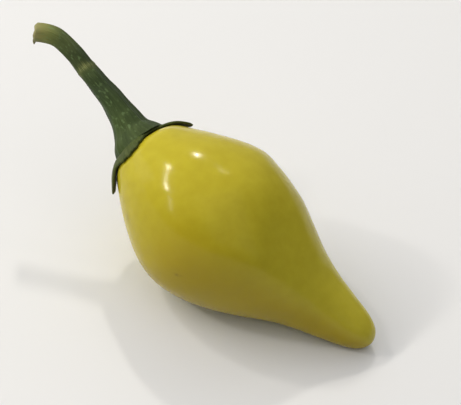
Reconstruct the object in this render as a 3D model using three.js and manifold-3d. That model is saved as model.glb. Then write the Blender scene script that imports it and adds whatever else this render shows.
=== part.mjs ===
// A small yellow chilli pepper of the little-beak kind, picked, lying on its belly and on the end of
// its beak. Millimetres, +Z up, +X towards the beak. The origin is on the surface that it lies on,
// below the middle of its box.
//
// The pieces are shaped in the fruit's own frame: the middle of its crown at the origin, its axis
// along +X towards the beak, +Z up. An angle round the axis is 0 at the top and turns towards -Y.

import * as THREE from 'three';
import { NURBSCurve } from 'three/addons/curves/NURBSCurve.js';
import { mergeVertices } from 'three/addons/utils/BufferGeometryUtils.js';
import Module from 'manifold-3d';

// Fruit: its outline is pulled towards one point for each of these. Lengths run along the axis from
// one point to the next, and radii are out from the axis.
const CROWN_RADIUS = 3.6;
const CROWN_EDGE_RADIUS = 4.65;
const CROWN_TO_EDGE = 1.6;
const EDGE_TO_SHOULDER = 3.9;
const SHOULDER_RADIUS = 7.3;
const SHOULDER_TO_BELLY = 4.8;
const BELLY_RADIUS = 9.5;
const BELLY_TO_FLANK = 5.2;
const FLANK_RADIUS = 8.2;
const FLANK_TO_TAPER = 4.5;
const TAPER_RADIUS = 6.15;
const TAPER_TO_NECK = 4.0;
const NECK_RADIUS = 3.95;
const BEAK_LENGTH = 8.75;
const BEAK_RADIUS = 2.85;
const BEAK_END_RADIUS = 1.6;

// How far the middle of the fruit stands off its straight axis at each place: [towards +Y, up].
const EDGE_BEND = [-0.5, 0];
const BELLY_BEND = [-1.93, -0.57];
const FLANK_BEND = [-1.52, -0.38];
const NECK_BEND = [-1.4, -0.95];
const BEAK_BEND = [-0.75, -1.05];

// Soft lobes run down the fruit, faint at the crown and plainer at the beak, as shares of its radius.
const FRUIT_LOBES = 4;
const FRUIT_LOBE_ANGLE = 48;
const CROWN_LOBE_HEIGHT = 0.006;
const BEAK_LOBE_HEIGHT = 0.035;

// Depth by which the fruit flattens where it rests.
const REST_FLAT_DEPTH = 0.2;

// Calyx: a cap that stands off the crown by a clearance, with lobes along the skin. A reach is
// measured along the skin, a width is half the angle that a lobe takes, a lift is up off the skin.
const CALYX_CLEARANCE = 0.3;
const CALYX_THICKNESS = 0.5;
const CALYX_EDGE_THICKNESS = 0.3;
const CALYX_REACH = 2.85;
const CALYX_LOBES = [
  { angle: -58, reach: 3.2, width: 20, lift: 0.2 },
  { angle: 68, reach: 1.4, width: 38, lift: 0 },
  { angle: 133, reach: 3.2, width: 24, lift: 0.15 },
  { angle: 196, reach: 2.8, width: 20, lift: 0.15 },
  { angle: 250, reach: 2.9, width: 20, lift: 0.15 },
];

// Stem: its foot is flat and stands off the calyx, and its radii run from the foot to the cut end.
const STEM_CLEARANCE = 0.3;
const STEM_LENGTH = 16.25;
const STEM_FOOT_RADIUS = 2.8;
const STEM_FLARE_RADIUS = 1.6;
const STEM_RADIUS = 0.98;
const STEM_END_RADIUS = 1.08;
const STEM_RIBS = 5;
const STEM_RIB_HEIGHT = 0.06;

// How finely the pieces are faceted.
const FRUIT_COLUMNS = 48;
const FRUIT_ROWS = 38;
const CALYX_COLUMNS = 72;
const CALYX_ROWS = 9;
const STEM_COLUMNS = 20;
const STEM_ROWS = 30;

const SHOULDER_AT = CROWN_TO_EDGE + EDGE_TO_SHOULDER;
const BELLY_AT = SHOULDER_AT + SHOULDER_TO_BELLY;
const FLANK_AT = BELLY_AT + BELLY_TO_FLANK;
const TAPER_AT = FLANK_AT + FLANK_TO_TAPER;
const NECK_AT = TAPER_AT + TAPER_TO_NECK;
const FRUIT_LENGTH = NECK_AT + BEAK_LENGTH;
const STEM_FOOT_AT = CALYX_CLEARANCE + CALYX_THICKNESS + STEM_CLEARANCE;

// Side of the block that pieces are cut with, larger than the whole pepper.
const BLOCK_SIZE = 4 * (FRUIT_LENGTH + STEM_LENGTH);

const wasm = await Module();
wasm.setup();

// A smooth curve of cubic pieces that starts and ends on its first and last point and is pulled
// towards the others.
function smoothCurve(points) {
  const degree = 3;
  const spans = points.length - degree;
  const knots = [];
  for (let i = 0; i < points.length + degree + 1; i += 1) {
    knots.push(THREE.MathUtils.clamp((i - degree) / spans, 0, 1));
  }
  const controls = points.map(([x, y, z = 0]) => new THREE.Vector4(x, y, z, 1));
  return new NURBSCurve(degree, knots, controls);
}

// Outline of the fruit, [out from the axis, along it].
const fruitOutline = smoothCurve([
  [0, 0],
  [CROWN_RADIUS, 0],
  [CROWN_EDGE_RADIUS, CROWN_TO_EDGE],
  [SHOULDER_RADIUS, SHOULDER_AT],
  [BELLY_RADIUS, BELLY_AT],
  [FLANK_RADIUS, FLANK_AT],
  [TAPER_RADIUS, TAPER_AT],
  [NECK_RADIUS, NECK_AT],
  [BEAK_RADIUS, NECK_AT + BEAK_LENGTH / 2],
  [BEAK_END_RADIUS, FRUIT_LENGTH],
  [0, FRUIT_LENGTH],
]);

// Line through the middle of the fruit.
const fruitAxis = smoothCurve([
  [0, 0, 0],
  [CROWN_TO_EDGE, ...EDGE_BEND],
  [BELLY_AT, ...BELLY_BEND],
  [FLANK_AT, ...FLANK_BEND],
  [NECK_AT, ...NECK_BEND],
  [FRUIT_LENGTH, ...BEAK_BEND],
]);

// Line through the middle of the stem, [share of its length out from the crown, towards +Y, up].
const stemAxis = smoothCurve([
  [0, -0.25, -0.25],
  [0.12, 0.52, 0.47],
  [0.3, 1.36, 1.3],
  [0.55, 1.78, 1.76],
  [0.8, 2.63, 2.53],
  [0.93, 2.38, 2.3],
  [1, 1.7, 1.62],
].map(([share, aside, up]) => [-share * STEM_LENGTH, aside, up]));

// Radius of the stem, [share of the way from its foot to its cut end, radius].
const stemOutline = smoothCurve([
  [0, STEM_FOOT_RADIUS],
  [0.08, STEM_FOOT_RADIUS],
  [0.16, STEM_FLARE_RADIUS],
  [0.45, STEM_RADIUS],
  [0.8, STEM_RADIUS],
  [0.93, STEM_END_RADIUS],
  [1, STEM_END_RADIUS],
]);

// A place beside a curve, from the share of the curve's length that it is at, its distance out from
// the curve and its angle round it. It can lie beyond the curve's end.
function besideCurve(curve, share, out, angle, beyond = 0) {
  const place = curve.getPointAt(share);
  const ahead = curve.getTangentAt(share);
  const up = new THREE.Vector3(0, 0, 1).addScaledVector(ahead, -ahead.z).normalize();
  const front = new THREE.Vector3().crossVectors(ahead, up);
  place.addScaledVector(ahead, beyond);
  place.addScaledVector(up, out * Math.cos(angle));
  place.addScaledVector(front, out * Math.sin(angle));
  return place;
}

// How far the lobes and the hollows between them push the skin, as a factor on the radius.
function fruitSwell(share, angle) {
  const height = THREE.MathUtils.lerp(CROWN_LOBE_HEIGHT, BEAK_LOBE_HEIGHT, share);
  return 1 + height * Math.cos(FRUIT_LOBES * (angle - THREE.MathUtils.degToRad(FRUIT_LOBE_ANGLE)));
}

// A place on or over the skin, from its distances along the axis and out from it.
function overFruit(along, out, angle) {
  const share = THREE.MathUtils.clamp(along / FRUIT_LENGTH, 0, 1);
  const beyond = along - share * FRUIT_LENGTH;
  return besideCurve(fruitAxis, share, out * fruitSwell(share, angle), angle, beyond);
}

// A closed body: a profile that starts and ends on the axis is turned round it, and then each point
// goes to the place that is given for its height, its distance out and its angle.
function turnedBody(profile, columns, place) {
  const turned = new THREE.LatheGeometry(profile, columns);
  turned.deleteAttribute('normal');
  turned.deleteAttribute('uv');
  const body = mergeVertices(turned);
  const corners = body.getIndex().array;
  const faces = [];
  for (let i = 0; i < corners.length; i += 3) {
    const [a, b, c] = corners.slice(i, i + 3);
    if (a !== b && b !== c && c !== a) {
      faces.push(a, b, c);
    }
  }
  body.setIndex(faces);
  const spots = body.getAttribute('position');
  for (let i = 0; i < spots.count; i += 1) {
    const [x, y, z] = [spots.getX(i), spots.getY(i), spots.getZ(i)];
    const moved = place(y, Math.hypot(x, z), Math.atan2(x, z));
    spots.setXYZ(i, moved.x, moved.y, moved.z);
  }
  return body;
}

function fruitBody() {
  const profile = fruitOutline.getSpacedPoints(FRUIT_ROWS).map(({ x, y }) => new THREE.Vector2(x, y));
  return turnedBody(profile, FRUIT_COLUMNS, overFruit);
}

// Share, from 0 to 1, by which an angle belongs to a lobe of the calyx.
function lobeShare(lobe, angle) {
  const apart = angle - THREE.MathUtils.degToRad(lobe.angle);
  const turn = Math.atan2(Math.sin(apart), Math.cos(apart)) / THREE.MathUtils.degToRad(lobe.width);
  return Math.exp(-turn * turn);
}

// The calyx is turned as a flat disc of radius 1 and thickness 1, and then laid over the skin: the
// disc's rim becomes the lobed margin.
function calyxBody() {
  const lower = [];
  const upper = [];
  for (let row = 0; row <= CALYX_ROWS; row += 1) {
    upper.push(new THREE.Vector2(row / CALYX_ROWS, 1));
    lower.unshift(new THREE.Vector2(row / CALYX_ROWS, 0));
  }
  const skinLength = fruitOutline.getLength();
  return turnedBody([...upper, ...lower], CALYX_COLUMNS, (level, ring, angle) => {
    let reach = CALYX_REACH;
    let lift = 0;
    for (const lobe of CALYX_LOBES) {
      reach += lobe.reach * lobeShare(lobe, angle);
      lift += lobe.lift * lobeShare(lobe, angle);
    }
    const skin = fruitOutline.getPointAt(ring * reach / skinLength);
    const ahead = fruitOutline.getTangentAt(ring * reach / skinLength);
    const thickness = THREE.MathUtils.lerp(CALYX_THICKNESS, CALYX_EDGE_THICKNESS, ring ** 2);
    const height = CALYX_CLEARANCE + level * thickness + lift * ring ** 4;
    return overFruit(skin.y - height * ahead.x, skin.x + height * ahead.y, angle);
  });
}

// The stem's profile is turned with a length of 1, and then carried along the stem's line.
function stemBody() {
  const profile = stemOutline.getSpacedPoints(STEM_ROWS).map(({ x, y }) => new THREE.Vector2(y, x));
  profile.unshift(new THREE.Vector2(0, 0));
  profile.push(new THREE.Vector2(0, 1));
  return turnedBody(profile, STEM_COLUMNS, (share, radius, angle) => {
    const rib = 1 + STEM_RIB_HEIGHT * Math.cos(STEM_RIBS * angle);
    return besideCurve(stemAxis, share, radius * rib, angle);
  });
}

// The body as a solid that can be cut.
function solid(geometry) {
  const vertProperties = geometry.getAttribute('position').array;
  const triVerts = geometry.getIndex().array;
  return new wasm.Manifold(new wasm.Mesh({ numProp: 3, vertProperties, triVerts }));
}

// What a block keeps of a body. The block reaches past the body on every side but one.
function keptInside(geometry, blockPlace) {
  const block = new THREE.BoxGeometry(BLOCK_SIZE, BLOCK_SIZE, BLOCK_SIZE);
  block.deleteAttribute('normal');
  block.deleteAttribute('uv');
  const keeper = solid(mergeVertices(block).applyMatrix4(blockPlace));
  const { vertProperties, triVerts } = solid(geometry).intersect(keeper).getMesh();
  const kept = new THREE.BufferGeometry();
  kept.setAttribute('position', new THREE.BufferAttribute(vertProperties, 3));
  kept.setIndex(new THREE.BufferAttribute(triVerts, 1));
  return kept;
}

// Height of a body's lowest point from one place along its axis to another, once it slopes nose down.
function lowestPoint(geometry, slope, from, to) {
  const spots = geometry.getAttribute('position');
  let lowest = Infinity;
  for (let i = 0; i < spots.count; i += 1) {
    if (spots.getX(i) >= from && spots.getX(i) <= to) {
      const height = spots.getZ(i) * Math.cos(slope) - spots.getX(i) * Math.sin(slope);
      lowest = Math.min(lowest, height);
    }
  }
  return lowest;
}

// Slope at which the belly and the end of the beak touch the surface together, found by halving.
function restingSlope(geometry) {
  let shallow = 0;
  let steep = Math.PI / 4;
  while (steep - shallow > 1e-6) {
    const slope = (shallow + steep) / 2;
    const belly = lowestPoint(geometry, slope, 0, NECK_AT);
    const beak = lowestPoint(geometry, slope, NECK_AT, FRUIT_LENGTH);
    if (belly < beak) {
      shallow = slope;
    } else {
      steep = slope;
    }
  }
  return shallow;
}

const wholeFruit = fruitBody();
const slope = restingSlope(wholeFruit);

// The pepper lies nose down by the resting slope, low enough to be cut flat where it rests.
const pepper = new THREE.Group();
pepper.rotation.y = slope;
pepper.position.z = -lowestPoint(wholeFruit, slope, 0, FRUIT_LENGTH) - REST_FLAT_DEPTH;
pepper.updateMatrixWorld();

const aboveSurface = new THREE.Matrix4().makeTranslation(0, 0, BLOCK_SIZE / 2);
aboveSurface.premultiply(pepper.matrixWorld.clone().invert());

// The stem's foot is square to the crown.
const outOfCrown = fruitAxis.getTangentAt(0).negate();
const beyondFoot = new THREE.Matrix4().compose(
  outOfCrown.clone().multiplyScalar(STEM_FOOT_AT + BLOCK_SIZE / 2),
  new THREE.Quaternion().setFromUnitVectors(new THREE.Vector3(1, 0, 0), outOfCrown),
  new THREE.Vector3(1, 1, 1),
);

function addPiece(name, geometry, look) {
  const piece = new THREE.Mesh(geometry, new THREE.MeshStandardMaterial(look));
  piece.name = name;
  pepper.add(piece);
}

addPiece('fruit', keptInside(wholeFruit, aboveSurface), { color: 0xa89f36, roughness: 0.25, metalness: 0 });
addPiece('calyx', calyxBody(), { color: 0x50592c, roughness: 0.7, metalness: 0 });
addPiece('stem', keptInside(stemBody(), beyondFoot), { color: 0x4b5734, roughness: 0.7, metalness: 0 });

const middle = new THREE.Box3().setFromObject(pepper, true).getCenter(new THREE.Vector3());
pepper.position.x -= middle.x;
pepper.position.y -= middle.y;

export default pepper;
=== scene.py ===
"""A small yellow chilli pepper of the little-beak kind, picked with its stem, lying on its belly and
on the end of its beak. Metres, +Z up, +X towards the beak, on the surface z = 0.

The pieces are shaped in the fruit's own frame, with the middle of the crown at the origin and the
beak along +X, and are then laid down nose first. An angle round the axis is 0 at the top and turns
towards -Y.
"""

import math

import bpy
import numpy as np
from mathutils import Matrix, Vector


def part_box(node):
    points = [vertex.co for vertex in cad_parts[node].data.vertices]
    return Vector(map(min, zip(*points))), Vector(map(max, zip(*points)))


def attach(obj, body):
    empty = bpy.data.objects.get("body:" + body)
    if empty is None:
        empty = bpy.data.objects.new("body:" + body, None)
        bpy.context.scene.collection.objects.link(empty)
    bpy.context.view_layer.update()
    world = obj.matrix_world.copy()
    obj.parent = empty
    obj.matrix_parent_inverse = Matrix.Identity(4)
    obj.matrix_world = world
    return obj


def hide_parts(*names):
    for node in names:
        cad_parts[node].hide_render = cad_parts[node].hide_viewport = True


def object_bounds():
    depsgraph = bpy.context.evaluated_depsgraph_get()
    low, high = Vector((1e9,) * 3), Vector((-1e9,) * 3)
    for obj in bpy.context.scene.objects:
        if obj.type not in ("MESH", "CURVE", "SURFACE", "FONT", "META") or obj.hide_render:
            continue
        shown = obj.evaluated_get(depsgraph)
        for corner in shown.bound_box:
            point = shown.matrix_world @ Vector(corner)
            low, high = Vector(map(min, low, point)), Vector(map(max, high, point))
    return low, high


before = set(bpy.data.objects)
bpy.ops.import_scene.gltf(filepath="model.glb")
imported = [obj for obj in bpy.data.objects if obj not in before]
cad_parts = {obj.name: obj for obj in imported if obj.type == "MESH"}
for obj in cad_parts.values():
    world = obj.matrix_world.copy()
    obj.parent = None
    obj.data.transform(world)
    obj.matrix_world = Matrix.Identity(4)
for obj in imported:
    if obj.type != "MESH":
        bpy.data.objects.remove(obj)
cad_low, cad_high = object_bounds()

MM = 0.001

# Fruit: the points that its outline is pulled to, as distances out from the axis and along it.
FRUIT_OUTLINE = MM * np.array([
    (0.0, 0.0), (3.6, 0.0), (4.65, 1.6), (7.3, 5.5), (9.5, 10.3), (8.2, 15.5),
    (6.15, 20.0), (3.95, 24.0), (2.85, 28.375), (1.6, 32.75), (0.0, 32.75),
])
# The line through the middle of the fruit: along, towards +Y, up.
FRUIT_AXIS = MM * np.array([
    (0.0, 0.0, 0.0), (1.6, -0.5, 0.0), (10.3, -1.93, -0.57),
    (15.5, -1.52, -0.38), (24.0, -1.4, -0.95), (32.75, -0.75, -1.05),
])
FRUIT_LENGTH = FRUIT_OUTLINE[-1, 1]
NECK_AT = 24.0 * MM
LOBES = 4
LOBE_ANGLE = math.radians(48)
CROWN_LOBE_HEIGHT = 0.006
BEAK_LOBE_HEIGHT = 0.035
REST_FLAT_DEPTH = 0.2 * MM

# Small scars in the skin: how far along, angle in degrees, size and how dark. They are set out as
# on a fruit of one even radius.
# Middle of the lower front flank, where painted shade darkens the skin to a deeper gold.
SHADED_FLANK_ANGLE = math.radians(100)
SPOT_RADIUS = 8.0 * MM
SPOTS = [
    (11.7, 92, 0.16, 0.6), (12.0, 90, 0.12, 0.3), (5.0, 106, 0.55, 0.25),
    (16.5, 200, 0.3, 0.6), (8.5, 290, 0.35, 0.45), (21.0, 330, 0.25, 0.5), (13.0, 240, 0.5, 0.3),
]

# Calyx: a thin cap with five lobes. Reaches run along the skin, lifts go up off it, and angles and
# widths are in degrees.
CALYX_GAP = 0.03 * MM
CALYX_THICKNESS = 0.5 * MM
CALYX_EDGE = 0.38 * MM
CALYX_REACH = 2.85 * MM
CALYX_RIB_HEIGHT = 0.06 * MM
CALYX_UNEVENNESS = 0.06 * MM
LONGEST_REACH = 6.0 * MM
CALYX_LOBES = [
    dict(angle=-58, reach=3.2, width=18, lift=0.3),
    dict(angle=68, reach=1.4, width=38, lift=0.0),
    dict(angle=131, reach=3.2, width=25, lift=0.35),
    dict(angle=196, reach=2.8, width=18, lift=0.2),
    dict(angle=250, reach=2.9, width=18, lift=0.2),
]

# Stem: the line through its middle, as in the solid part, from the crown to the cut end. The foot
# starts a little way along it, where it comes out of the calyx.
STEM_AXIS = MM * np.array([
    (0.0, -0.25, -0.25), (-1.95, 0.52, 0.47), (-4.875, 1.36, 1.3), (-8.94, 1.78, 1.76),
    (-13.0, 2.63, 2.53), (-15.11, 2.38, 2.3), (-16.25, 1.7, 1.62),
])
STEM_STARTS_AT = 0.028
FOOT_HEIGHT = CALYX_GAP + 0.8 * CALYX_THICKNESS
# Radius of the stem at shares of the way from its foot to the cut end.
STEM_RADII = np.array([
    (0.0, 3.05), (0.02, 3.0), (0.045, 2.72), (0.075, 2.2), (0.12, 1.9), (0.18, 1.6),
    (0.3, 1.28), (0.5, 1.05), (0.8, 0.93), (0.92, 1.08), (1.0, 1.02),
]) * (1.0, MM)
STEM_RIBS = 5
STEM_RIB_HEIGHT = 0.06
NODE_AT = 0.575
CLOSING_ROWS = 12
FIBRE_ANGLE = math.radians(221)
# Side of the stem that the painted shade on its lower part leaves clear.
UNSHADED_STEM_ANGLE = math.radians(302)


def grid(shares, columns):
    """Grid of shares from pole to pole and angles round: two arrays, rows by columns."""
    return np.meshgrid(shares, np.arange(columns) * 2 * np.pi / columns, indexing="ij")


def spline(points, t):
    """Cubic B-spline: each place is the sum of all points, weighted by bell-shaped shares of t from 0
    to 1 (Cox and de Boor's rule), with the end knots repeated so that it meets its end points."""
    count, degree = len(points), 3
    knots = np.clip((np.arange(count + degree + 1) - degree) / (count - degree), 0, 1)
    t = np.clip(np.asarray(t, float), 0, 1 - 1e-12)[..., None]
    share = ((t >= knots[:-1]) & (t < knots[1:])).astype(float)
    for p in range(1, degree + 1):
        rise, fall = knots[p:-1] - knots[:-p - 1], knots[p + 1:] - knots[1:-p]
        up = np.divide(t - knots[:-p - 1], rise, out=np.zeros_like(share[..., :-1]), where=rise > 0)
        down = np.divide(knots[p + 1:] - t, fall, out=np.zeros_like(share[..., :-1]), where=fall > 0)
        share = up * share[..., :-1] + down * share[..., 1:]
    return share @ points


def along_spline(points, shares):
    """Places and unit directions at shares of a spline's length. The length is summed over short
    steps, and the share is looked up in the sums."""
    t = np.linspace(0, 1, 3001)
    steps = np.linalg.norm(np.diff(spline(points, t), axis=0), axis=1)
    reached = np.append(0, np.cumsum(steps))
    t_at = np.interp(shares, reached / reached[-1], t)
    ahead = spline(points, np.minimum(t_at + 1e-3, 1)) - spline(points, np.maximum(t_at - 1e-3, 0))
    return spline(points, t_at), ahead / np.linalg.norm(ahead, axis=-1, keepdims=True)


def spline_length(points):
    """Length of a spline: the sum of 3000 short steps."""
    return np.linalg.norm(np.diff(spline(points, np.linspace(0, 1, 3001)), axis=0), axis=1).sum()


def beside(middle, ahead, out, angle):
    """Places at a distance and an angle round a line: middle + out (cos angle up + sin angle front),
    where up is +Z made square to the line's direction, and front is square to both."""
    up = np.array([0.0, 0.0, 1.0]) - ahead * ahead[..., 2:]
    up = up / np.linalg.norm(up, axis=-1, keepdims=True)
    front = np.cross(ahead, up)
    out, angle = out[..., None], angle[..., None]
    return middle + out * (np.cos(angle) * up + np.sin(angle) * front)


def bump(value, middle, width):
    """Bell curve: exp of minus the square of the distance from its middle in widths."""
    return np.exp(-((value - middle) / width) ** 2)


def turn_to(angle, middle):
    """Angle from a middle angle, brought to between minus and plus half a turn."""
    return np.arctan2(np.sin(angle - middle), np.cos(angle - middle))


def over_fruit(along, out, angle):
    """Places over the skin: out is scaled by 1 + height cos(lobes (angle - lobe angle)), where the
    height grows evenly from crown to beak, and set off the fruit's middle line."""
    share = np.clip(along / FRUIT_LENGTH, 0, 1)
    height = CROWN_LOBE_HEIGHT + (BEAK_LOBE_HEIGHT - CROWN_LOBE_HEIGHT) * share
    swell = 1 + height * np.cos(LOBES * (angle - LOBE_ANGLE))
    middle, ahead = along_spline(FRUIT_AXIS, share)
    middle = middle + (along - share * FRUIT_LENGTH)[..., None] * ahead
    return beside(middle, ahead, out * swell, angle)


def skin_relief(along, angle):
    """Small unevenness of the grown skin, in metres: a fuller shoulder, a soft ridge and a soft dent
    on the front and puckers round the crown, each a bell curve, and long shallow waves and ripples,
    each a product of sines that dies away at both ends of the fruit."""
    fuller = 0.42 * bump(turn_to(angle, math.radians(30)), 0, 0.95) * bump(along, 4.6 * MM, 3.0 * MM)
    ridge = 0.3 * bump(turn_to(angle, math.radians(50)), 0, 0.3) * bump(along, 18 * MM, 7 * MM)
    dent = -0.5 * bump(turn_to(angle, math.radians(20)), 0, 0.34) * bump(along, 18.3 * MM, 2.7 * MM)
    puckers = 0.04 * np.cos(7 * angle + 0.6) * bump(along, 0.6 * MM, 1.4 * MM)
    waves = 0.08 * np.sin(along / MM * 0.55 + 1.7 * np.sin(angle)) * np.sin(3 * angle + along / MM * 0.21)
    ripples = 0.012 * np.sin(along / MM * 1.9 + 2 * np.cos(2 * angle)) * np.sin(9 * angle + 1.3)
    ends = np.sin(np.pi * np.clip(along / FRUIT_LENGTH, 0, 1))
    return MM * (fuller + ridge + dent + puckers + (waves + ripples) * ends)


def skin_profile(shares, angle):
    """Distance out and along of the skin at shares of the outline's length, and the outline's
    direction: the relief is added to the distance out, and fades in over the first millimetre of it."""
    skin, ahead = along_spline(FRUIT_OUTLINE, shares)
    out, along = skin[..., 0], skin[..., 1]
    return out + skin_relief(along, angle) * np.clip(out / MM, 0, 1), along, ahead


def fruit_surface(rows, columns):
    """Skin of the fruit on a grid of (share of the outline's length, angle): the skin's profile is set
    over the middle line. Also gives the shares, the angles and the distances along."""
    share, angle = grid(np.linspace(0, 1, rows), columns)
    out, along, _ = skin_profile(share, angle)
    return over_fruit(along, out, angle), share, angle, along


def resting_slope(places, along):
    """Slope at which belly and beak are level, by halving: too shallow while the belly is lower."""
    belly = along < NECK_AT
    shallow, steep = 0.0, np.pi / 4
    while steep - shallow > 1e-6:
        slope = (shallow + steep) / 2
        height = places[..., 2] * np.cos(slope) - places[..., 0] * np.sin(slope)
        if height[belly].min() < height[~belly].min():
            shallow = slope
        else:
            steep = slope
    return shallow


def plain_fruit():
    """The skin without its relief, as the solid part has it: the pepper is laid by this one."""
    share, angle = grid(np.linspace(0, 1, 39), 48)
    skin, _ = along_spline(FRUIT_OUTLINE, share)
    return over_fruit(skin[..., 1], skin[..., 0], angle), skin[..., 1]


def laying():
    """Turn and move that lay the pepper down: nose down by the resting slope, the fruit's box where
    the solid part has it, and its lowest point the depth of the flat below the surface."""
    places, along = plain_fruit()
    slope = resting_slope(places, along)
    turn = np.array(Matrix.Rotation(slope, 3, "Y"))
    low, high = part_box("fruit")
    turned = (places @ turn.T).reshape(-1, 3)
    move = (np.array(low) + np.array(high)) / 2 - (turned.min(0) + turned.max(0)) / 2
    move[2] = -turned[:, 2].min() - REST_FLAT_DEPTH
    return turn, move


TURN, MOVE = laying()


def lay(places):
    """Places of the fruit's own frame, laid down on the surface."""
    return places @ TURN.T + MOVE


def closed_mesh(name, places, marks):
    """Closed mesh of a grid of places: rows run from one pole to the other, columns go round, and
    each end row is drawn together to one point. The faces are turned over if the volume that they
    hold comes out below zero. Marks are values kept at the points by name."""
    rows, columns = places.shape[:2]
    inner = places[1:-1].reshape(-1, 3)
    points = np.vstack([places[0].mean(0), inner, places[-1].mean(0)])
    ring = 1 + np.arange(columns)
    following = 1 + (np.arange(columns) + 1) % columns
    step = columns * np.arange(rows - 3)[:, None]
    here, next_to = ring + step, following + step
    quads = np.stack([here, here + columns, next_to + columns, next_to], -1).reshape(-1, 4)
    last = (rows - 3) * columns
    first_fan = np.stack([np.zeros_like(ring), ring, following], -1)
    last_fan = np.stack([np.full_like(ring, len(points) - 1), following + last, ring + last], -1)
    faces = quads.tolist() + first_fan.tolist() + last_fan.tolist()
    a, b, c = (points[quads[:, corner]] for corner in range(3))
    if np.einsum("ij,ij->i", a, np.cross(b, c)).sum() < 0:
        faces = [face[::-1] for face in faces]
    mesh = bpy.data.meshes.new(name)
    mesh.from_pydata(points.tolist(), [], faces)
    mesh.polygons.foreach_set("use_smooth", np.ones(len(faces), bool))
    for mark, values in marks.items():
        values = values.reshape(rows, columns, -1)
        inner = values[1:-1].reshape(-1, values.shape[-1])
        kept = np.vstack([values[0].mean(0), inner, values[-1].mean(0)])
        kind, field = ("FLOAT", "value") if kept.shape[1] == 1 else ("FLOAT_VECTOR", "vector")
        mesh.attributes.new(mark, kind, "POINT").data.foreach_set(field, kept.ravel())
    mesh.update()
    piece = bpy.data.objects.new(name, mesh)
    bpy.context.scene.collection.objects.link(piece)
    return piece


def flow_marks(length, angle, grain):
    """Places for patterns that follow a piece's own grain and close on themselves round it:
    (cos angle, sin angle, length / grain)."""
    return np.stack([np.cos(angle), np.sin(angle), length / grain], -1)


def make_fruit():
    """Fruit: the skin laid down, and pressed flat where it would reach below the surface. Each scar
    is a bell curve of the distance from its middle over the skin."""
    places, share, angle, along = fruit_surface(rows=220, columns=288)
    places = lay(places)
    places[..., 2] = np.maximum(places[..., 2], 0)
    spot = np.zeros_like(share)
    for at, turn, size, depth in SPOTS:
        away = np.hypot(along - at * MM, SPOT_RADIUS * turn_to(angle, math.radians(turn)))
        spot += depth * bump(away, 0, size * MM)
    flow = flow_marks(share, angle, grain=0.25)
    return closed_mesh("fruit_skin", places, {"share": share, "spot": spot, "flow": flow})


def off_skin(reach, height, angle):
    """Places above the skin near the crown: the skin's profile at the reach, moved by the height
    square to the outline, and turned to the angle."""
    out, along, ahead = skin_profile(reach / spline_length(FRUIT_OUTLINE), angle)
    return over_fruit(along - height * ahead[..., 0], out + height * ahead[..., 1], angle)


def calyx_margin(angle):
    """Reach, lift and middle veins of the margin: a round cap, plus each lobe's reach times the mean
    of a flat-topped bell exp(-(turn / width)^4) and a pointed one exp(-(turn / width)^2), and a fine
    uneven edge made of sines. A vein is a narrow bell curve down the middle of its lobe."""
    reach = np.full_like(angle, CALYX_REACH)
    lift = np.zeros_like(angle)
    middle_vein = np.zeros_like(angle)
    for lobe in CALYX_LOBES:
        turn = turn_to(angle, math.radians(lobe["angle"])) / math.radians(lobe["width"])
        shape = 0.5 * np.exp(-turn ** 4) + 0.5 * np.exp(-turn ** 2)
        reach += lobe["reach"] * MM * shape
        lift += lobe["lift"] * MM * shape
        middle_vein += bump(turn, 0, 0.22)
    uneven = np.sin(23 * angle + 1.1) + 0.7 * np.sin(41 * angle + 0.4) + 0.5 * np.sin(67 * angle)
    return reach + CALYX_UNEVENNESS * uneven, lift, middle_vein


def calyx_surface(rows, columns):
    """Calyx on a grid of (way from the middle of the upper face over the rim to the middle of the
    lower face, angle): each point is set off the skin at sin(pi way) of the reach, by the gap and by
    a share of the thickness, which goes from 1 on the upper face through a half at the rim to 0 on
    the lower one. Veins raise the upper face, and the lobes lift off towards their tips."""
    way, angle = grid(np.linspace(0, 1, rows), columns)
    ring = np.sin(np.pi * way)
    upper = np.cos(np.pi * way)
    reach, lift, vein = calyx_margin(angle)
    thickness = CALYX_THICKNESS + (CALYX_EDGE - CALYX_THICKNESS) * ring ** 2
    ribs = CALYX_RIB_HEIGHT * vein * ring * (upper > 0)
    face = 0.5 + 0.5 * np.sign(upper) * np.abs(upper) ** 0.35
    height = CALYX_GAP + face * thickness + ribs * np.abs(upper) ** 0.5 + lift * ring ** 5
    return off_skin(ring * reach, height, angle), ring * reach, angle


def make_calyx():
    """Calyx: laid down with the fruit, and marked with its reach as a share of the longest one."""
    places, reach, angle = calyx_surface(rows=97, columns=432)
    flow = flow_marks(reach, angle, grain=2.0 * MM)
    return closed_mesh("calyx_cap", lay(places), {"reach": reach / LONGEST_REACH, "flow": flow})


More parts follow.
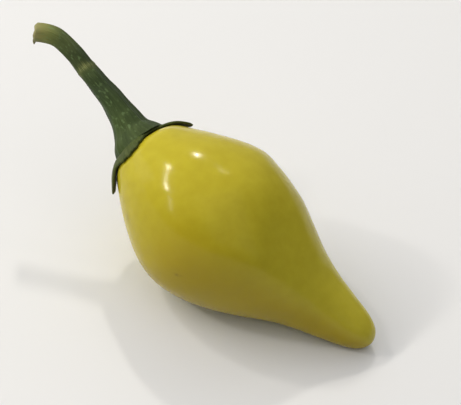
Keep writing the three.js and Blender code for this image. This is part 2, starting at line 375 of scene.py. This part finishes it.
def stem_surface(rows, columns):
    """Stem on a grid of (way from the middle of its foot along the side to the middle of its cut end,
    angle): a round section of the given radius, with ribs as 1 + height cos(ribs angle), set square
    to a direction that turns from the crown's own to the stem's over its first stretch. The rows at
    each end close it by drawing the radius in to nothing. The foot is seated on the calyx, the cut end
    is slanted, and one torn fibre stands out from its edge."""
    side_rows = rows - 2 * CLOSING_ROWS
    share = np.concatenate([np.zeros(CLOSING_ROWS), np.linspace(0, 1, side_rows), np.ones(CLOSING_ROWS)])
    opened = np.arange(CLOSING_ROWS) / CLOSING_ROWS
    closing = np.concatenate([opened, np.ones(side_rows), opened[::-1]])[:, None]
    share, angle = grid(share, columns)
    middle, ahead = along_spline(STEM_AXIS, STEM_STARTS_AT + (1 - STEM_STARTS_AT) * share)
    _, crown = along_spline(FRUIT_AXIS, np.zeros(1))
    bent = bump(share, 0, 0.16)[..., None]
    ahead = bent * -crown[0] + (1 - bent) * ahead
    ahead = ahead / np.linalg.norm(ahead, axis=-1, keepdims=True)
    radius = np.interp(share, *spline(STEM_RADII, np.linspace(0, 1, 2001)).T)
    ribs = STEM_RIB_HEIGHT * np.cos(STEM_RIBS * angle + 2.2 * share + 0.4)
    fine_ribs = 0.014 * np.cos(17 * angle - 5 * share + 2 * np.sin(4 * angle)) * bump(share, 0.08, 0.22)
    node = 0.045 * bump(share, NODE_AT, 0.014) + 0.02 * np.sin(37 * share + 2 * np.cos(angle))
    rounding = 0.16 * bump(share, 1, 0.008)
    radius = radius * (1 + ribs * (1 - 0.6 * bump(share, 1, 0.12)) + fine_ribs + node - rounding)
    fibre = 0.4 * MM * bump(turn_to(angle, FIBRE_ANGLE), 0, 0.16) * bump(share, 0.994, 0.008)
    slant = 0.16 * MM * np.cos(angle - FIBRE_ANGLE) + 0.05 * MM * np.sin(5 * angle + 7 * closing)
    slant = (slant * closing - 0.12 * MM * (1 - closing)) * bump(share, 1, 0.03)
    places = beside(middle, ahead, (radius + fibre) * closing, angle) + ahead * slant[..., None]
    seated = bump(share, 0, 0.03)[..., None]
    seat = off_skin(radius * closing, FOOT_HEIGHT, -angle)
    places = (1 - seated) * places + seated * seat
    return places, share, angle, np.broadcast_to(closing, share.shape)


def make_stem():
    """Stem: laid down with the fruit, and marked with its cut faces and with the pale patch at its
    node, a bell curve along the stem that fades round to the back."""
    places, share, angle, closing = stem_surface(rows=300, columns=160)
    flow = flow_marks(share, angle, grain=0.35)
    pale = bump(share + 0.014 * np.sin(2 * angle), 0.58, 0.026) * (0.5 + 0.5 * np.cos(angle + 0.5))
    marks = {"share": share, "cut": 1 - closing, "pale": pale, "flow": flow}
    return closed_mesh("stem_stalk", lay(places), marks)


def linear(hex_colour):
    """Colour of an sRGB hex value in the renderer's own linear scale."""
    code = np.array([int(hex_colour[i:i + 2], 16) for i in (1, 3, 5)]) / 255
    return (*np.where(code <= 0.04045, code / 12.92, ((code + 0.055) / 1.055) ** 2.4), 1.0)


def add(tree, kind, links=(), **settings):
    """Adds a node: settings go to its own fields, or to its inputs when the name is one of theirs,
    and each link is (input name or number, another node's output)."""
    node = tree.nodes.new(kind)
    for name, value in settings.items():
        if name in node.inputs:
            node.inputs[name].default_value = value
        else:
            setattr(node, name, value)
    for name, output in links:
        tree.links.new(output, node.inputs[name])
    return node


def finish_named(name):
    """An empty material: its node tree, and a surface shader joined to its output."""
    material = bpy.data.materials.new(name)
    material.use_nodes = True
    tree = material.node_tree
    tree.nodes.clear()
    shader = add(tree, "ShaderNodeBsdfPrincipled")
    add(tree, "ShaderNodeOutputMaterial", [("Surface", shader.outputs["BSDF"])])
    return material, tree, shader


def put(tree, shader, name, output):
    """Links an output to one of the shader's inputs."""
    tree.links.new(output, shader.inputs[name])


def sided(tree, flow, angle):
    """Cosine of the turn from an angle round the piece, from its flow marks."""
    node = add(tree, "ShaderNodeVectorMath", [(0, flow)], operation="DOT_PRODUCT")
    node.inputs[1].default_value = (math.cos(angle), math.sin(angle), 0.0)
    return node.outputs["Value"]


def times(tree, first, second):
    """Product of two outputs."""
    node = add(tree, "ShaderNodeMath", [(0, first), (1, second)], operation="MULTIPLY")
    return node.outputs["Value"]


def colour_steps(tree, factor, steps):
    """A colour ramp through (place, hex colour) steps."""
    ramp = add(tree, "ShaderNodeValToRGB", [("Fac", factor)])
    elements = ramp.color_ramp.elements
    while len(elements) < len(steps):
        elements.new(0.5)
    for element, (place, colour) in zip(elements, steps):
        element.position = place
        element.color = linear(colour)
    return ramp.outputs["Color"]


def mixed(tree, factor, first, second):
    """Mix of two colours: each is an output or a hex value, and the factor an output or a number."""
    node = add(tree, "ShaderNodeMix", data_type="RGBA")
    for index, value in ((0, factor), (6, first), (7, second)):
        if isinstance(value, str):
            node.inputs[index].default_value = linear(value)
        elif isinstance(value, (int, float)):
            node.inputs[index].default_value = value
        else:
            tree.links.new(value, node.inputs[index])
    return node.outputs[2]


def ranged(tree, value, taken, given):
    """A value brought smoothly from one range to another, and held at the ends."""
    node = add(tree, "ShaderNodeMapRange", [("Value", value)], interpolation_type="SMOOTHSTEP")
    limits = (("From Min", taken[0]), ("From Max", taken[1]), ("To Min", given[0]), ("To Max", given[1]))
    for name, limit in limits:
        node.inputs[name].default_value = limit
    return node.outputs["Result"]


def waxy_fruit_skin():
    """Ripe skin of a yellow chilli: a thin clear wax over soft flesh. It gives the eye small sharp
    highlights, a faint glow at the rims, a yellow that drifts between olive and straw, and painted
    shade: a darker golden tint on the lower front flank of the belly."""
    material, tree, shader = finish_named("waxy_fruit_skin")
    place = add(tree, "ShaderNodeTexCoord").outputs["Object"]
    share = add(tree, "ShaderNodeAttribute", attribute_name="share").outputs["Fac"]
    clouds = add(tree, "ShaderNodeTexNoise", [("Vector", place)], Scale=110.0, Detail=3.0, Roughness=0.5)
    mottle = add(tree, "ShaderNodeTexNoise", [("Vector", place)], Scale=900.0, Detail=4.0, Roughness=0.6)
    base = colour_steps(tree, share, [
        (0.0, "#a3982a"), (0.35, "#b1a425"), (0.6, "#b9af37"), (1.0, "#c0b648"),
    ])
    drift = colour_steps(tree, clouds.outputs["Fac"], [(0.3, "#a39418"), (0.7, "#bfb32e")])
    colour = mixed(tree, 0.5, base, drift)
    fine = colour_steps(tree, mottle.outputs["Fac"], [(0.35, "#9b8d18"), (0.65, "#b8ac2e")])
    colour = mixed(tree, 0.18, colour, fine)
    flow = add(tree, "ShaderNodeAttribute", attribute_name="flow").outputs["Vector"]
    # Painted shade: the lower front flank of the belly darkened to a deeper gold.
    flank_shade = ranged(tree, sided(tree, flow, SHADED_FLANK_ANGLE), (0.5, 1.0), (0.0, 0.85))
    belly = ranged(tree, share, (0.25, 0.42), (0.0, 1.0))
    colour = mixed(tree, times(tree, flank_shade, belly), colour, "#9f8a16")
    spot = add(tree, "ShaderNodeAttribute", attribute_name="spot").outputs["Fac"]
    colour = mixed(tree, spot, colour, "#5f5014")
    put(tree, shader, "Base Color", colour)
    shader.inputs["Roughness"].default_value = 0.16
    shader.inputs["IOR"].default_value = 1.4
    shader.inputs["Specular IOR Level"].default_value = 0.25
    shader.inputs["Subsurface Weight"].default_value = 0.25
    shader.inputs["Subsurface Radius"].default_value = (1.0, 0.8, 0.2)
    shader.inputs["Subsurface Scale"].default_value = 0.0015
    pores = add(tree, "ShaderNodeTexNoise", [("Vector", place)], Scale=2500.0, Detail=2.0)
    relief = add(tree, "ShaderNodeBump", [("Height", pores.outputs["Fac"])], Strength=0.04, Distance=0.0001)
    put(tree, shader, "Normal", relief.outputs["Normal"])
    return material


def leafy_calyx_green():
    """Green leaf tissue with a dull bloom: matt, streaked with darker veins, and more yellow and drier
    towards the edge."""
    material, tree, shader = finish_named("leafy_calyx_green")
    reach = add(tree, "ShaderNodeAttribute", attribute_name="reach").outputs["Fac"]
    flow = add(tree, "ShaderNodeAttribute", attribute_name="flow").outputs["Vector"]
    stretched = add(tree, "ShaderNodeMapping", [("Vector", flow)], Scale=(9.0, 9.0, 0.8))
    veins = add(tree, "ShaderNodeTexNoise", [("Vector", stretched.outputs["Vector"])], Scale=2.0, Detail=4.0)
    base = colour_steps(tree, reach, [(0.25, "#323e14"), (0.6, "#384314"), (1.0, "#434610")])
    streaks = colour_steps(tree, veins.outputs["Fac"], [(0.35, "#2b3815"), (0.65, "#586234")])
    put(tree, shader, "Base Color", mixed(tree, 0.4, base, streaks))
    shader.inputs["Roughness"].default_value = 0.6
    shader.inputs["Specular IOR Level"].default_value = 0.2
    shader.inputs["Subsurface Weight"].default_value = 0.1
    shader.inputs["Subsurface Radius"].default_value = (0.5, 0.8, 0.2)
    shader.inputs["Subsurface Scale"].default_value = 0.0005
    relief = add(tree, "ShaderNodeBump", [("Height", veins.outputs["Fac"])], Strength=0.4, Distance=0.0001)
    put(tree, shader, "Normal", relief.outputs["Normal"])
    return material


def ribbed_stem_green():
    """Green stalk, ribbed and dull, with painted shade that darkens its lower part more the further its side
    turns from the upper front, a greyish bloom in streaks and flecks, dark patches, a pale patch where a
    bract sat, and a yellowed, dried end."""
    material, tree, shader = finish_named("ribbed_stem_green")
    share = add(tree, "ShaderNodeAttribute", attribute_name="share").outputs["Fac"]
    cut = add(tree, "ShaderNodeAttribute", attribute_name="cut").outputs["Fac"]
    flow = add(tree, "ShaderNodeAttribute", attribute_name="flow").outputs["Vector"]
    stretched = add(tree, "ShaderNodeMapping", [("Vector", flow)], Scale=(7.0, 7.0, 1.6))
    streak = add(tree, "ShaderNodeTexNoise", [("Vector", stretched.outputs["Vector"])], Scale=1.6, Detail=5.0)
    base = colour_steps(tree, share, [
        (0.0, "#33401a"), (0.2, "#3e4d28"), (0.42, "#323e29"), (0.56, "#45512f"), (0.61, "#40482b"),
        (0.7, "#3b4227"), (0.8, "#525a33"), (0.88, "#70753e"), (0.95, "#8d8a50"), (1.0, "#a0976c"),
    ])
    streaks = colour_steps(tree, streak.outputs["Fac"], [(0.3, "#263514"), (0.7, "#5c7041")])
    colour = mixed(tree, 0.28, base, streaks)
    place = add(tree, "ShaderNodeTexCoord").outputs["Object"]
    patches = add(tree, "ShaderNodeTexNoise", [("Vector", place)], Scale=420.0, Detail=3.0)
    dark = ranged(tree, patches.outputs["Fac"], (0.45, 0.7), (0.0, 0.55))
    colour = mixed(tree, dark, colour, "#2c3a1c")
    short = add(tree, "ShaderNodeMapping", [("Vector", flow)], Scale=(1.0, 1.0, 2.2))
    flecks = add(tree, "ShaderNodeTexNoise", [("Vector", short.outputs["Vector"])], Scale=4.5, Detail=3.0)
    bloom = ranged(tree, flecks.outputs["Fac"], (0.55, 0.72), (0.0, 0.5))
    colour = mixed(tree, bloom, colour, "#6b8354")
    # Painted shade: over the stem's lower part, sides turned away from the unshaded angle are darkened.
    stem_shade = ranged(tree, sided(tree, flow, UNSHADED_STEM_ANGLE), (0.3, 0.95), (0.6, 0.0))
    shade_along = ranged(tree, share, (0.6, 0.8), (1.0, 0.0))
    colour = mixed(tree, times(tree, stem_shade, shade_along), colour, "#2b3720")
    pale = add(tree, "ShaderNodeAttribute", attribute_name="pale").outputs["Fac"]
    worn = ranged(tree, streak.outputs["Fac"], (0.42, 0.62), (0.15, 1.0))
    colour = mixed(tree, times(tree, pale, worn), colour, "#868a55")
    put(tree, shader, "Base Color", mixed(tree, cut, colour, "#8a7f55"))
    shader.inputs["Roughness"].default_value = 0.6
    shader.inputs["Specular IOR Level"].default_value = 0.15
    relief = add(tree, "ShaderNodeBump", [("Height", streak.outputs["Fac"])], Strength=0.5, Distance=0.0002)
    put(tree, shader, "Normal", relief.outputs["Normal"])
    return material


def pale_floor_paint():
    """Even matt off-white paint, which gives the eye nothing but soft shadows."""
    material, tree, shader = finish_named("pale_floor_paint")
    shader.inputs["Base Color"].default_value = linear("#dcdde1")
    shader.inputs["Roughness"].default_value = 0.9
    shader.inputs["Specular IOR Level"].default_value = 0.1
    return material


def make_floor():
    """Flat square far wider than the pepper, a hair below it."""
    half, drop = 2.0, 0.02 * MM
    mesh = bpy.data.meshes.new("floor")
    corners = [(-half, -half, -drop), (half, -half, -drop), (half, half, -drop), (-half, half, -drop)]
    mesh.from_pydata(corners, [], [(0, 1, 2, 3)])
    floor = bpy.data.objects.new("floor", mesh)
    bpy.context.scene.collection.objects.link(floor)
    floor.data.materials.append(pale_floor_paint())


def direction(azimuth, elevation):
    """Unit direction from the pepper outwards: azimuth 0 is towards -Y and 90 towards +X."""
    a, e = math.radians(azimuth), math.radians(elevation)
    return Vector((math.sin(a) * math.cos(e), -math.cos(a) * math.cos(e), math.sin(e)))


CENTRE = Vector((cad_low + cad_high) / 2)

# The camera looks down on the pepper from the front, tipped a little to one side. Angles are in
# degrees, the lens in millimetres, and the shift is towards the right and the top of the view.
VIEW_AZIMUTH = 16.7
VIEW_ELEVATION = 45.4
VIEW_ROLL = 13.2
VIEW_DISTANCE = 0.180
VIEW_LENS = 131.9
VIEW_AIM = Vector((0.003, 0.0, 0.009))
VIEW_SHIFT = (1.50 * MM, 1.73 * MM)


def make_camera():
    """Camera at the view's distance from its aim, with its frame rolled about the line of sight."""
    camera = bpy.data.objects.new("camera", bpy.data.cameras.new("camera"))
    bpy.context.scene.collection.objects.link(camera)
    back = direction(VIEW_AZIMUTH, VIEW_ELEVATION)
    level = Vector((0, 0, 1)).cross(back).normalized()
    upright = back.cross(level)
    roll = math.radians(VIEW_ROLL)
    right = math.cos(roll) * level + math.sin(roll) * upright
    up = back.cross(right)
    aim = VIEW_AIM + right * VIEW_SHIFT[0] + up * VIEW_SHIFT[1]
    place = Matrix((right, up, back)).transposed().to_4x4()
    place.translation = aim + back * VIEW_DISTANCE
    camera.matrix_world = place
    camera.data.lens = VIEW_LENS
    camera.data.sensor_width = 36.0
    camera.data.clip_start = 0.005
    bpy.context.scene.camera = camera


def add_light(name, azimuth, elevation, distance, size, power, tilt=0):
    """Soft lamp that faces the pepper: (width, height) of its panel in metres, power in watts, and
    tilt of the panel, in degrees, about the line to the pepper."""
    data = bpy.data.lights.new(name, "AREA")
    data.shape = "RECTANGLE"
    data.size, data.size_y = size
    data.energy = power
    data.color = linear("#fff9ec")[:3]
    lamp = bpy.data.objects.new(name, data)
    bpy.context.scene.collection.objects.link(lamp)
    towards = direction(azimuth, elevation)
    facing = towards.to_track_quat("Z", "Y").to_matrix().to_4x4()
    facing = facing @ Matrix.Rotation(math.radians(tilt), 4, "Z")
    facing.translation = CENTRE + towards * distance
    lamp.matrix_world = facing


def make_light():
    """Plain studio light: a pale room that is brighter above and to the left, a small lamp and a
    fainter one that give round highlights, panes of a window at the left, and two wide fills."""
    world = bpy.data.worlds.new("studio")
    bpy.context.scene.world = world
    world.use_nodes = True
    tree = world.node_tree
    towards = add(tree, "ShaderNodeTexCoord").outputs["Generated"]
    facing = add(tree, "ShaderNodeVectorMath", [(0, towards)], operation="DOT_PRODUCT")
    facing.inputs[1].default_value = direction(-115, 46)
    glow = ranged(tree, facing.outputs["Value"], (-0.15, 1.0), (0.115, 0.82))
    put(tree, tree.nodes["Background"], "Strength", glow)
    tree.nodes["Background"].inputs["Color"].default_value = linear("#fdfdfb")
    add_light("lamp", -148, 48.5, 0.6, (0.026, 0.036), 0.8)
    add_light("far lamp", -172, 58, 0.6, (0.025, 0.025), 0.06)
    add_light("upper pane", -91, 45, 0.5, (0.026, 0.026), 0.32)
    add_light("middle pane", -76, 41, 0.5, (0.2, 0.02), 0.62, -23)
    add_light("lower pane", -60, 35, 0.5, (0.03, 0.03), 0.46)
    add_light("pane edge", -42, 25, 0.5, (0.18, 0.014), 0.13, -56)
    add_light("side fill", -88, 10, 0.7, (0.4, 0.3), 0.55)
    add_light("front fill", 50, 55, 0.8, (1.0, 1.0), 1.3)
    bpy.context.scene.view_settings.view_transform = "Standard"


make_camera()
make_light()
make_floor()

fruit = make_fruit()
fruit.data.materials.append(waxy_fruit_skin())
calyx = make_calyx()
calyx.data.materials.append(leafy_calyx_green())
stem = make_stem()
stem.data.materials.append(ribbed_stem_green())
for piece, node in ((fruit, "fruit"), (calyx, "calyx"), (stem, "stem")):
    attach(piece, "root")
    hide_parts(node)
